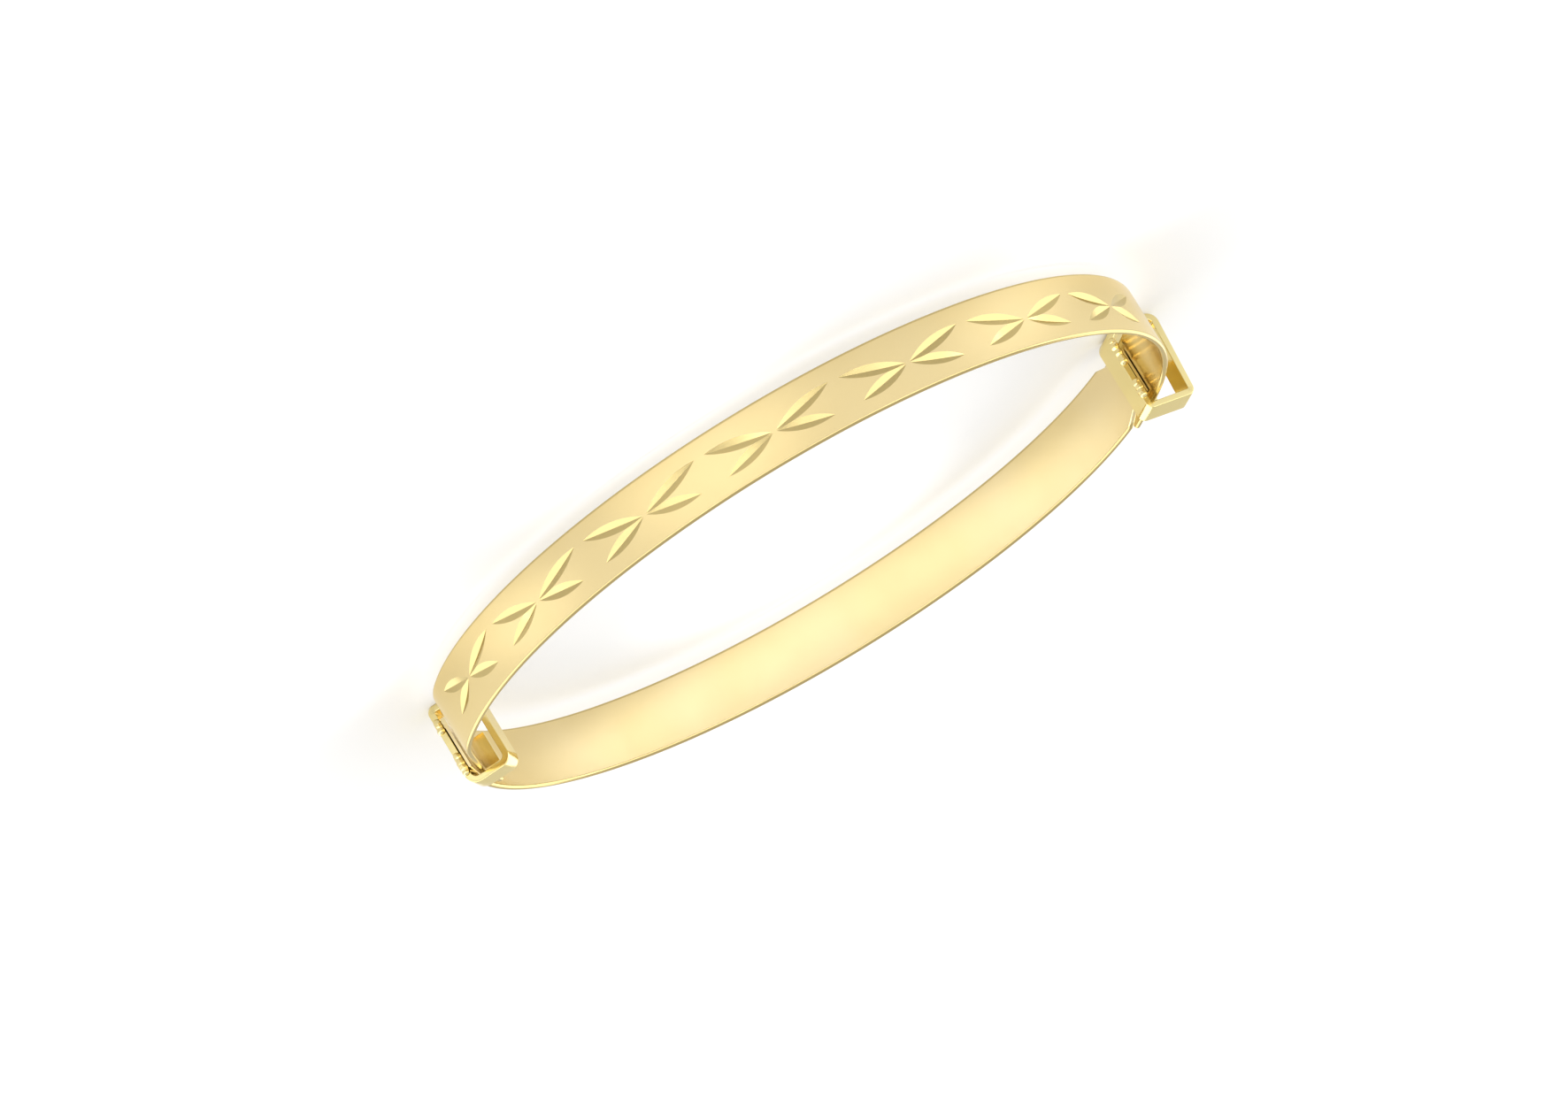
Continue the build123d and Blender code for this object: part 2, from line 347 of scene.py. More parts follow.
def plain(piece):
    """Replaces a piece's mesh by its evaluated one and drops its modifiers."""
    evaluated = piece.evaluated_get(bpy.context.evaluated_depsgraph_get())
    mesh = bpy.data.meshes.new_from_object(evaluated)
    mesh.name = piece.name
    piece.modifiers.clear()
    old, piece.data = piece.data, mesh
    bpy.data.meshes.remove(old)
    return piece


SHARP = radians(16)


def settle(piece, matrix=None, sharp=SHARP):
    """Places a mesh, closes its seams, turns its faces outwards and gives it even normals."""
    mesh = piece.data
    if matrix is not None:
        mesh.transform(matrix)
    work = bmesh.new()
    work.from_mesh(mesh)
    bmesh.ops.remove_doubles(work, verts=work.verts, dist=0.0005 * MM)
    bmesh.ops.dissolve_degenerate(work, edges=work.edges, dist=0.0002 * MM)
    bmesh.ops.recalc_face_normals(work, faces=work.faces)
    work.to_mesh(mesh)
    work.free()
    mesh.shade_smooth()
    mesh.set_sharp_from_angle(angle=sharp)
    even = piece.modifiers.new("even normals", "WEIGHTED_NORMAL")
    even.keep_sharp = True
    even.weight = 50
    return plain(piece)


def join(pieces, name):
    """Joins the meshes of several pieces into one object at the origin."""
    work = bmesh.new()
    for piece in pieces:
        work.from_mesh(piece.data)
    mesh = bpy.data.meshes.new(name)
    work.to_mesh(mesh)
    work.free()
    for material in pieces[0].data.materials:
        mesh.materials.append(material)
    for piece in pieces:
        bpy.data.objects.remove(piece)
    joined = bpy.data.objects.new(name, mesh)
    bpy.context.scene.collection.objects.link(joined)
    return joined


def strip_group():
    """Node group: flat strip with rounded edges along a curve, its width along Z."""
    group = Tree("Strip along a curve", "GeometryNodeTree",
                 [("Curve", "Geometry"), ("Width", "Float"), ("Thickness", "Float"),
                  ("Edge round", "Float"), ("Cap", "Bool", True)],
                 [("Mesh", "Geometry")])
    section = group.node("GeometryNodeCurvePrimitiveQuadrilateral",
                         group.inputs["Thickness"], group.inputs["Width"])
    rounded = group.node("GeometryNodeFilletCurve", section.outputs[0], ("Count", 6),
                         ("Radius", group.inputs["Edge round"]), mode="POLY")
    upright = group.node("GeometryNodeSetCurveNormal", group.inputs["Curve"], mode="Z_UP")
    swept = group.node("GeometryNodeCurveToMesh", upright.outputs[0], rounded.outputs[0],
                       ("Fill Caps", group.inputs["Cap"]))
    group.give("Mesh", swept.outputs[0])
    return group.tree


def finish_tree(group, geometry):
    """Ends a tree: realised instances with the tree's material."""
    real = group.node("GeometryNodeRealizeInstances", geometry)
    dressed = group.node("GeometryNodeSetMaterial", real.outputs[0],
                         ("Material", group.inputs["Material"]))
    group.give("Geometry", dressed.outputs[0])
    return group.tree


def strip_node(group, strip, curve, width, thickness, edge_round, cap=True):
    """Places the strip group in a tree."""
    node = add_node(group.tree, "GeometryNodeGroup", node_tree=strip)
    for label, source in (("Curve", curve), ("Width", width), ("Thickness", thickness),
                          ("Edge round", edge_round), ("Cap", cap)):
        if isinstance(source, bpy.types.NodeSocket):
            group.tree.links.new(source, node.inputs[label])
        else:
            node.inputs[label].default_value = source
    return node.outputs[0]


def arc_band_tree(strip):
    """Tree: strip bent to an arc, its two ends narrowing to a smaller width."""
    group = Tree("Arc band", "GeometryNodeTree",
                 [("Radius", "Float"), ("Start", "Float"), ("Sweep", "Float"), ("Points", "Int", 240),
                  ("Width", "Float"), ("Thickness", "Float"), ("Edge round", "Float"),
                  ("End width", "Float"), ("Taper", "Float"), ("Material", "Material")],
                 [("Geometry", "Geometry")])
    tree, given = group.tree, group.inputs
    arc = group.node("GeometryNodeCurveArc", ("Resolution", given["Points"]),
                     ("Radius", given["Radius"]), ("Start Angle", given["Start"]),
                     ("Sweep Angle", given["Sweep"]), mode="RADIUS")
    place_on_arc = group.node("GeometryNodeSplineParameter")
    held = group.node("GeometryNodeStoreNamedAttribute", arc.outputs[0], ("Name", "along"),
                      ("Value", place_on_arc.outputs["Length"]), data_type="FLOAT", domain="POINT")
    swept = strip_node(group, strip, held.outputs[0], given["Width"], given["Thickness"],
                       given["Edge round"])
    along = group.node("GeometryNodeInputNamedAttribute", ("Name", "along"),
                       data_type="FLOAT").outputs[0]
    total = maths(tree, "MULTIPLY", given["Radius"], given["Sweep"])
    from_end = maths(tree, "MINIMUM", along, maths(tree, "SUBTRACT", total, along))
    share = add_node(tree, "ShaderNodeMapRange", from_end, 0.0, given["Taper"],
                     maths(tree, "DIVIDE", given["End width"], given["Width"]), 1.0).outputs[0]
    position = group.node("GeometryNodeInputPosition").outputs[0]
    split = group.node("ShaderNodeSeparateXYZ", position).outputs
    narrowed = group.node("ShaderNodeCombineXYZ", split[0], split[1],
                          maths(tree, "MULTIPLY", split[2], share)).outputs[0]
    shaped = group.node("GeometryNodeSetPosition", swept, ("Position", narrowed))
    return finish_tree(group, shaped.outputs[0])


def bar_tree(strip):
    """Tree: straight strip along +X from the origin, its width along Z."""
    group = Tree("Straight strip", "GeometryNodeTree",
                 [("Length", "Float"), ("Width", "Float"), ("Thickness", "Float"),
                  ("Edge round", "Float"), ("Material", "Material")],
                 [("Geometry", "Geometry")])
    end = group.node("ShaderNodeCombineXYZ", group.inputs["Length"]).outputs[0]
    line = group.node("GeometryNodeCurvePrimitiveLine", None, end)
    swept = strip_node(group, strip, line.outputs[0], group.inputs["Width"], group.inputs["Thickness"],
                       group.inputs["Edge round"])
    return finish_tree(group, swept)


TIGHTER = -0.38  # share taken off the bend radius at the upper corners


def keeper_tree(strip):
    """Tree: strip bent round a rectangle with rounded corners and closed on itself."""
    group = Tree("Keeper loop", "GeometryNodeTree",
                 [("Reach", "Float"), ("Height", "Float"), ("Depth", "Float"), ("Wall", "Float"),
                  ("Corner", "Float"), ("Edge round", "Float"), ("Lean", "Float"), ("Drop", "Float"),
                  ("Material", "Material")],
                 [("Geometry", "Geometry")])
    tree, given = group.tree, group.inputs
    outline = group.node("GeometryNodeCurvePrimitiveQuadrilateral",
                         maths(tree, "SUBTRACT", given["Reach"], given["Wall"]),
                         maths(tree, "SUBTRACT", given["Height"], given["Wall"]))
    place_on_outline = group.node("GeometryNodeInputPosition").outputs[0]
    height = group.node("ShaderNodeSeparateXYZ", place_on_outline).outputs[1]
    tighter = maths(tree, "MULTIPLY", maths(tree, "GREATER_THAN", height, 0.0), TIGHTER)
    corner = maths(tree, "MULTIPLY", given["Corner"], maths(tree, "ADD", tighter, 1.0))
    middle_corner = maths(tree, "SUBTRACT", corner, maths(tree, "DIVIDE", given["Wall"], 2.0))
    bent = group.node("GeometryNodeFilletCurve", outline.outputs[0], ("Count", 10),
                      ("Radius", middle_corner), mode="POLY")
    cut = group.node("GeometryNodeSubdivideCurve", bent.outputs[0], ("Cuts", 4))
    swept = strip_node(group, strip, cut.outputs[0], given["Depth"], given["Wall"],
                       given["Edge round"], False)
    place_on_strip = group.node("GeometryNodeInputPosition").outputs[0]
    x, y, _ = group.node("ShaderNodeSeparateXYZ", place_on_strip).outputs
    outer = maths(tree, "ADD", maths(tree, "DIVIDE", x, given["Reach"]), 0.5)
    upper = maths(tree, "ADD", maths(tree, "DIVIDE", y, given["Height"]), 0.5)
    inner = maths(tree, "SUBTRACT", 1.0, outer)
    leaning = maths(tree, "MULTIPLY", maths(tree, "MULTIPLY", outer, upper), given["Lean"])
    dropping = maths(tree, "MULTIPLY", maths(tree, "MULTIPLY", inner, upper), given["Drop"])
    shift = group.node("ShaderNodeCombineXYZ", maths(tree, "MULTIPLY", leaning, -1.0),
                       maths(tree, "MULTIPLY", dropping, -1.0)).outputs[0]
    bowed = group.node("GeometryNodeSetPosition", swept, ("Offset", shift))
    return finish_tree(group, bowed.outputs[0])


def bead_tree():
    """Tree: a short row of solder grains along Y, melted together."""
    group = Tree("Solder bead", "GeometryNodeTree",
                 [("Length", "Float"), ("Radius", "Float"), ("Grains", "Int", 5), ("Seed", "Int", 1),
                  ("Material", "Material")],
                 [("Geometry", "Geometry")])
    tree, given = group.tree, group.inputs
    half = maths(tree, "MULTIPLY", given["Length"], 0.5)
    low = group.node("ShaderNodeCombineXYZ", None, maths(tree, "MULTIPLY", half, -1.0)).outputs[0]
    high = group.node("ShaderNodeCombineXYZ", None, half).outputs[0]
    line = group.node("GeometryNodeMeshLine", ("Count", given["Grains"]), ("Start Location", low),
                      ("Offset", high), mode="END_POINTS")
    spread = maths(tree, "MULTIPLY", given["Radius"], 0.10)
    wander = add_node(tree, "FunctionNodeRandomValue", data_type="FLOAT_VECTOR")
    wander.inputs["Min"].default_value = (-1, -1, -1)
    tree.links.new(given["Seed"], wander.inputs["Seed"])
    shift = group.node("ShaderNodeVectorMath", wander.outputs[0], ("Scale", spread), operation="SCALE")
    grains = group.node("GeometryNodeSetPosition", line.outputs[0], ("Offset", shift.outputs[0]))
    ball = group.node("GeometryNodeMeshUVSphere", 20, 12, ("Radius", given["Radius"]))
    size = add_node(tree, "FunctionNodeRandomValue", data_type="FLOAT")
    size.inputs[2].default_value = 0.82
    size.inputs[3].default_value = 1.12
    tree.links.new(maths(tree, "ADD", given["Seed"], 7.0), size.inputs["Seed"])
    placed = group.node("GeometryNodeInstanceOnPoints", grains.outputs[0],
                        ("Instance", ball.outputs[0]), ("Scale", size.outputs[1]))
    real = group.node("GeometryNodeRealizeInstances", placed.outputs[0])
    fog = group.node("GeometryNodeMeshToVolume", real.outputs[0], resolution_mode="VOXEL_SIZE")
    fog.inputs["Voxel Size"].default_value = 0.03 * MM
    fog.inputs["Interior Band Width"].default_value = 0.09 * MM
    melted = group.node("GeometryNodeVolumeToMesh", fog.outputs[0], resolution_mode="GRID")
    melted.inputs["Threshold"].default_value = 0.1
    return finish_tree(group, melted.outputs[0])


# ---------------------------------------------------------------------------------------------
# Front band
# ---------------------------------------------------------------------------------------------
FACE_STEP = 0.3 * MM
PETAL_STEPS = 26
PETAL_CLEAR = 0.06 * MM  # no free mesh point lies nearer to a petal than this
RIM_STEPS = 5


class Petal:
    """One cut petal, laid out on the unrolled outer face."""

    def __init__(self, centre, run, size, depth, slope):
        self.centre, self.run, self.size, self.depth, self.slope = centre, run, size, depth, slope
        self.across = Vector((-run.y, run.x))

    def depth_at(self, along):
        """Depth of the cut's bottom line."""
        return self.depth * (1 - (2 * along / self.size) ** 2)

    def half_width(self, along):
        """Half the petal's width."""
        return self.depth_at(along) / self.slope

    def local(self, point):
        """Distances along and across the petal."""
        offset = point - self.centre
        return offset.dot(self.run), offset.dot(self.across)

    def holds(self, point, margin=0.0):
        """True inside the petal's outline, or within a margin of it."""
        along, across = self.local(point)
        if abs(along) > self.size / 2 + margin:
            return False
        return abs(across) < max(self.half_width(along), 0.0) + margin

    def tilt(self, point):
        """Slope of the cut's wall at a point, as depth per distance along and across the face."""
        along, across = self.local(point)
        down_run = -8 * self.depth * along / self.size**2
        down_across = -self.slope if across > 0 else self.slope
        return self.run * down_run + self.across * down_across


def petals(start):
    """Every petal, start being the middle line's distance at the front band's front."""
    motif, band = bpy.context.scene.bangle_motifs, bpy.context.scene.bangle_bands
    outside = band.front_radius + band.thickness / 2
    found = []
    for index in range(motif.count):
        from_middle = index - (motif.count - 1) / 2
        angle = motif.middle + motif.spacing * from_middle
        heart = Vector((start + angle * outside, motif.lift - motif.drift * from_middle))
        for side, size in ((-1, motif.lower_petal), (1, motif.upper_petal)):
            for end in (-1, 1):
                run = Vector((cos(motif.slope) * end, sin(motif.slope) * side))
                centre = heart + run * (motif.gap + size / 2)
                found.append(Petal(centre, run, size, motif.depth, tan(motif.facet)))
    return found


def petal_chains(petal):
    """Points of a petal's two outlines and of its bottom line, tip to tip."""
    left, ridge, right = [], [], []
    for index in range(PETAL_STEPS + 1):
        along = petal.size * (index / PETAL_STEPS - 0.5)
        middle = petal.centre + petal.run * along
        wide = petal.across * petal.half_width(along)
        left.append(middle + wide)
        ridge.append(middle)
        right.append(middle - wide)
    return left, ridge, right


def face_plan(marks, edge, cuts):
    """Unrolled outer face: points, depths, triangles, and the points along its two borders."""
    points, depths, links = [], [], []

    def add(point, depth=0.0):
        points.append(point)
        depths.append(depth)
        return len(points) - 1

    for side in (-1, 1):
        border = [add(Vector((mark, side * edge))) for mark in marks]
        links += zip(border, border[1:])
    rows = round(2 * edge / (1.5 * FACE_STEP))
    inner = [edge * (2 * row / rows - 1) for row in range(1, rows)]
    for mark in marks:
        for height in inner:
            point = Vector((mark, height))
            if not any(cut.holds(point, PETAL_CLEAR) for cut in cuts):
                add(point)
    for cut in cuts:
        left, ridge, right = petal_chains(cut)
        first, last = add(ridge[0]), add(ridge[-1])
        rims = []
        for chain, deep in ((left, False), (ridge, True), (right, False)):
            row = [first]
            for index in range(1, PETAL_STEPS):
                along = cut.size * (index / PETAL_STEPS - 0.5)
                row.append(add(chain[index], cut.depth_at(along) if deep else 0.0))
            row.append(last)
            rims.append(row)
            links += zip(row, row[1:])
        for one, middle, other in list(zip(*rims))[1:-1]:
            links += [(one, middle), (middle, other)]
    flat_points, _, triangles, sources, _, _ = delaunay_2d_cdt(
        [point / MM for point in points], links, [], 0, 1e-6)
    kept = [depths[source[0]] if source else 0.0 for source in sources]
    became = {first: index for index, source in enumerate(sources) for first in source}
    borders = [[became[side * len(marks) + index] for index in range(len(marks))] for side in (0, 1)]
    return [point * MM for point in flat_points], kept, triangles, borders


def front_band_mesh(materials):
    """Closed mesh of the front band: cut outer face, worn edges, inner face and ends."""
    band = bpy.context.scene.bangle_bands
    runs = front_runs()
    marks = stations(runs, FACE_STEP)
    half, middle = band.thickness / 2, band_middle()
    edge = band.width / 2 - band.edge_round
    scale = (band.front_radius + half) / band.front_radius
    front = runs[0].length + runs[1].radius * -runs[1].first
    cuts = petals(0.0)
    for cut in cuts:
        cut.centre.x = front + cut.centre.x / scale
    plan, depths, triangles, borders = face_plan(marks, edge, cuts)
    vertices, normals, faces, kinds = [], [], [], []

    def outer(point, depth):
        spot, outwards = along_runs(runs, point.x)
        return spot + outwards * (half - depth) + UP * (middle + point.y)

    vertices += [outer(point, depth) for point, depth in zip(plan, depths)]
    for triangle in triangles:
        heart = sum((plan[index] for index in triangle), Vector((0, 0))) / 3
        cut = next((cut for cut in cuts if cut.holds(heart)), None)
        faces.append(tuple(triangle))
        kinds.append(1 if cut else 0)
        for index in triangle:
            _, outwards = along_runs(runs, plan[index].x)
            normal = outwards
            if cut:
                tilt = cut.tilt(heart.lerp(plan[index], 0.98))
                around = UP.cross(outwards)
                normal = (outwards + around * tilt.x + UP * tilt.y).normalized()
            normals.append(normal)
    profile = band_profile(band)
    rings = []
    for mark, low, high in zip(marks, *borders):
        spot, outwards = along_runs(runs, mark)
        ring = [high]
        for across, rise, _, _ in profile[1:-1]:
            ring.append(len(vertices))
            vertices.append(spot + outwards * across + UP * (middle + rise))
        ring.append(low)
        rings.append(ring)
    for mark, after, ring, following in zip(marks, marks[1:], rings, rings[1:]):
        ways = [along_runs(runs, mark)[1], along_runs(runs, after)[1]]
        for step in range(len(ring) - 1):
            faces.append((ring[step], following[step], following[step + 1], ring[step + 1]))
            kinds.append(0)
            for way, index in ((0, step), (1, step), (1, step + 1), (0, step + 1)):
                _, _, out, rise = profile[index]
                normals.append((ways[way] * out + UP * rise).normalized())
    for ring, mark, sense in ((rings[0], marks[0], -1), (rings[-1], marks[-1], 1)):
        rim = sorted((point.y, index) for index, point in enumerate(plan)
                     if abs(point.x - mark) < 1e-4 * MM)
        loop = ring + [index for _, index in rim[1:-1]]
        faces.append(tuple(loop if sense < 0 else reversed(loop)))
        kinds.append(0)
        outwards = along_runs(runs, mark)[1]
        normals += [UP.cross(outwards) * sense] * len(loop)
    mesh = bpy.data.meshes.new("front_band_gold")
    mesh.from_pydata(vertices, [], faces)
    for material in materials:
        mesh.materials.append(material)
    mesh.polygons.foreach_set("material_index", kinds)
    mesh.shade_smooth()
    mesh.normals_split_custom_set(normals)
    return mesh


def band_profile(band):
    """Half turn of the strip's section from its top outer edge round the inside to its bottom one."""
    half, edge = band.thickness / 2, band.width / 2 - band.edge_round
    ease = half - band.edge_round
    corners = (((ease, edge), 0), ((-ease, edge), 90), ((-ease, -edge), 180), ((ease, -edge), 270))
    points = []
    for corner, start in corners:
        for step in range(RIM_STEPS + 1):
            angle = radians(start + 90 * step / RIM_STEPS)
            out, rise = cos(angle), sin(angle)
            points.append((corner[0] + band.edge_round * out, corner[1] + band.edge_round * rise,
                           out, rise))
    return points


# ---------------------------------------------------------------------------------------------
# Materials
# ---------------------------------------------------------------------------------------------
RING_RADIUS = 23.0  # mm, turns an angle round the ring into a length
RIM_FROM = 1.83  # mm from a strip's middle, where its rolled rim starts
RIM_FADE = 0.04  # mm
EDGE_TINT = (1.0, 0.94, 0.76, 1)  # gold stays yellow where it is seen edge on


def ring_place(group):
    """Position in millimetres round the ring: distance along it, height and radius, inside a group."""
    tree = group.tree
    spot = group.node("ShaderNodeTexCoord").outputs["Object"]
    spot = group.node("ShaderNodeVectorMath", spot, ("Scale", 1 / MM), operation="SCALE").outputs[0]
    x, y, z = group.node("ShaderNodeSeparateXYZ", spot).outputs
    radius = maths(tree, "SQRT", maths(tree, "ADD", maths(tree, "MULTIPLY", x, x),
                                       maths(tree, "MULTIPLY", y, y)))
    angle = maths(tree, "ARCTAN2", x, maths(tree, "MULTIPLY", y, -1.0))
    along = maths(tree, "MULTIPLY", angle, RING_RADIUS)
    return spot, along, z, radius


def polish_group():
    """Shader group: fine buffing lines along the strip with a few stray scratches."""
    group = Tree("Buffed metal", "ShaderNodeTree",
                 [("Line length", "Float", 3.0), ("Line width", "Float", 0.05),
                  ("Scratches", "Float", 0.1)],
                 [("Height", "Float"), ("Lines", "Float"), ("Smudge", "Float")])
    tree, given = group.tree, group.inputs
    spot, along, height, radius = ring_place(group)
    stretched = group.node("ShaderNodeCombineXYZ",
                           maths(tree, "DIVIDE", along, given["Line length"]),
                           maths(tree, "DIVIDE", height, given["Line width"]),
                           maths(tree, "DIVIDE", radius, given["Line width"])).outputs[0]
    lines = group.node("ShaderNodeTexNoise", ("Vector", stretched), ("Scale", 1.0), ("Detail", 3.0),
                       ("Roughness", 0.6)).outputs[0]
    wavy = group.node("ShaderNodeTexNoise", ("Vector", spot), ("Scale", 0.35), ("Detail", 2.0),
                      ("Distortion", 0.6)).outputs[0]
    stray = group.node("ShaderNodeTexVoronoi", ("Vector", add_node(
        tree, "ShaderNodeVectorMath", stretched, ("Scale", 0.35), operation="SCALE").outputs[0]),
        ("Scale", 1.0), ("Randomness", 1.0), feature="DISTANCE_TO_EDGE").outputs[0]
    hairline = add_node(tree, "ShaderNodeMapRange", stray, 0.0, 0.035, 1.0, 0.0).outputs[0]
    cut = maths(tree, "MULTIPLY", hairline, given["Scratches"])
    group.give("Height", maths(tree, "SUBTRACT", lines, cut))
    group.give("Lines", lines)
    group.give("Smudge", wavy)
    return group.tree


def tone_group():
    """Shader group: slow change of tone in the alloy, with a deeper tone where polish gathers."""
    group = Tree("Alloy tone", "ShaderNodeTree",
                 [("Pale", "Color"), ("Warm", "Color"), ("Patch size", "Float", 8.0),
                  ("Strength", "Float", 0.5)],
                 [("Color", "Color")])
    tree, given = group.tree, group.inputs
    spot, _, _, _ = ring_place(group)
    patches = group.node("ShaderNodeTexNoise", ("Vector", spot),
                         ("Scale", maths(tree, "DIVIDE", 1.0, given["Patch size"])),
                         ("Detail", 2.0)).outputs[0]
    share = maths(tree, "MULTIPLY", add_node(tree, "ShaderNodeMapRange", patches, 0.35, 0.65, 0.0,
                                             1.0).outputs[0], given["Strength"])
    mixed = group.node("ShaderNodeMix", ("Factor", share), ("A", None), data_type="RGBA")
    tree.links.new(given["Pale"], mixed.inputs[6])
    tree.links.new(given["Warm"], mixed.inputs[7])
    group.give("Color", mixed.outputs[2])
    return group.tree


def rim_shade_group():
    """Shader group: mask of a strip's rolled rims, 1 where the distance from its middle is great; it
    places the rims' painted shade.
    """
    group = Tree("Strip rims", "ShaderNodeTree",
                 [("Middle", "Float", 2.8), ("Flat", "Float", RIM_FROM)], [("Mask", "Float")])
    _, _, height, _ = ring_place(group)
    off = maths(group.tree, "ABSOLUTE", maths(group.tree, "SUBTRACT", height, group.inputs["Middle"]))
    past = maths(group.tree, "SUBTRACT", off, group.inputs["Flat"])
    group.give("Mask", add_node(group.tree, "ShaderNodeMapRange", past, 0.0, RIM_FADE, 0.0,
                                1.0).outputs[0])
    return group.tree


def gold(name, groups, colours, shine, lines, bump, rim=None):
    """Polished gold: two alloy colours, two roughnesses, and buffing lines' length, width and relief,
    with a darker rim colour painted on as shade where one is given.
    """
    polish, tone, rims = groups
    (pale, warm), (smooth, rough), (line_length, line_width) = colours, shine, lines
    material = bpy.data.materials.new(name)
    material.use_nodes = True
    tree = material.node_tree
    surface = tree.nodes["Principled BSDF"]
    surface.inputs["Metallic"].default_value = 1.0
    surface.inputs["Specular Tint"].default_value = EDGE_TINT
    colour = add_node(tree, "ShaderNodeGroup", node_tree=tone)
    colour.inputs["Pale"].default_value = (*pale, 1)
    colour.inputs["Warm"].default_value = (*warm, 1)
    shown = colour.outputs[0]
    # Painted shade: where the rim mask is 1, the rolled rims take the darker rim colour
    if rim is not None:
        mask = add_node(tree, "ShaderNodeGroup", node_tree=rims)
        deeper = add_node(tree, "ShaderNodeMix", data_type="RGBA")
        tree.links.new(mask.outputs[0], deeper.inputs[0])
        tree.links.new(shown, deeper.inputs[6])
        deeper.inputs[7].default_value = (*rim, 1)
        shown = deeper.outputs[2]
    tree.links.new(shown, surface.inputs["Base Color"])
    buffed = add_node(tree, "ShaderNodeGroup", node_tree=polish)
    for label, value in (("Line length", line_length), ("Line width", line_width)):
        buffed.inputs[label].default_value = value
    worn = maths(tree, "ADD", maths(tree, "MULTIPLY", buffed.outputs["Lines"], 0.35),
                 maths(tree, "MULTIPLY", buffed.outputs["Smudge"], 0.65))
    dull = add_node(tree, "ShaderNodeMapRange", worn, 0.35, 0.65, smooth, rough).outputs[0]
    tree.links.new(dull, surface.inputs["Roughness"])
    relief = add_node(tree, "ShaderNodeBump", ("Strength", 1.0), ("Distance", bump * MM),
                      ("Height", buffed.outputs["Height"]))
    tree.links.new(relief.outputs[0], surface.inputs["Normal"])
    return material


def make_materials():
    """All golds, by name."""
    tones = bpy.context.scene.bangle_gold
    groups = (polish_group(), tone_group(), rim_shade_group())
    strip, strip_lines = (0.15, 0.24), (4.0, 0.05)
    keeper, solder = (tones.keeper_pale, tones.keeper_warm), (tones.keeper_pale, tones.pale)
    return {
        # The band and back golds take tones.rim, a darker colour painted on their rims as shade
        "band": gold("polished_gold", groups, (tones.pale, tones.warm), strip, strip_lines, 0.0008,
                     tones.rim),
        # Painted shade: the cut petals use the darker cut colour for the shade inside the cuts
        "cut": gold("cut_gold_shaded", groups, (tones.bright, tones.bright), (0.10, 0.22), (1.2, 0.03), 0.0010),
        "back": gold("plain_gold", groups, (tones.back_pale, tones.back_warm), strip, strip_lines,
                     0.0008, tones.rim),
        "keeper": gold("loop_gold", groups, keeper, (0.10, 0.24), (1.5, 0.05), 0.0015),
        "solder": gold("bead_gold", groups, solder, (0.14, 0.30), (0.5, 0.2), 0.004),
    }


def golds():
    """The golds, made on first use."""
    found = {key: bpy.data.materials.get(name) for key, name in (
        ("band", "polished_gold"), ("back", "plain_gold"), ("cut", "cut_gold_shaded"), ("keeper", "loop_gold"),
        ("solder", "bead_gold"))}
    return found if all(found.values()) else make_materials()


# ---------------------------------------------------------------------------------------------
# Operators
# ---------------------------------------------------------------------------------------------
def stand_in(piece, node, body):
    """The piece takes the CAD node's place on its body."""
    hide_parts(node)
    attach(piece, body)


class BANGLE_OT_front_band(bpy.types.Operator):
    """Build the front band with its seven cut crosses"""

    bl_idname = "bangle.front_band"
    bl_label = "Front band"

    def execute(self, context):
        materials = golds()
        mesh = front_band_mesh([materials["band"], materials["cut"]])
        piece = bpy.data.objects.new("front_band_gold", mesh)
        context.scene.collection.objects.link(piece)
        stand_in(piece, "front_band", FRONT_HALF)
        return {"FINISHED"}


class BANGLE_OT_back_band(bpy.types.Operator):
    """Build the plain back band with its two narrowed ends and soldered tongues"""

    bl_idname = "bangle.back_band"
    bl_label = "Back band"

    def execute(self, context):
        band, keeper = context.scene.bangle_bands, context.scene.bangle_keepers
        material = golds()["back"]
        strip = strip_group()
        centre, middle = flat(band.back_centre), band_middle()
        ends = []
        for side in (1, -1):
            behind = keeper_matrix(side, band.back_radius, keeper.depth / 2, middle).translation - centre
            ends.append(atan2(behind.x, -behind.y) % (2 * pi))
        body = tree_piece("arc", arc_band_tree(strip), material, Radius=band.back_radius,
                          Start=ends[0] - pi / 2, Sweep=ends[1] - ends[0], Width=band.width,
                          Thickness=band.thickness, Edge_round=band.edge_round,
                          End_width=band.tongue_width, Taper=band.taper)
        settle(body, Matrix.Translation(centre + UP * middle))
        parts = [body]
        bar = bar_tree(strip)
        for side, radius in ((1, keeper.left_outside - keeper.wall - band.tongue_thickness / 2),
                             (-1, keeper.right_inside + keeper.wall + band.tongue_thickness / 2)):
            tongue = tree_piece("tongue", bar, material, Length=keeper.depth + TONGUE_ROOT,
                                Width=band.tongue_width, Thickness=band.tongue_thickness,
                                Edge_round=band.tongue_thickness * 0.3)
            seat = keeper_matrix(side, radius, -keeper.depth / 2, middle)
            settle(tongue, seat @ Matrix(((0, 1, 0, 0), (0, 0, 1, 0), (1, 0, 0, 0), (0, 0, 0, 1))))
            parts.append(tongue)
        stand_in(join(parts, "back_band_gold"), "back_band", BACK_HALF)
        return {"FINISHED"}


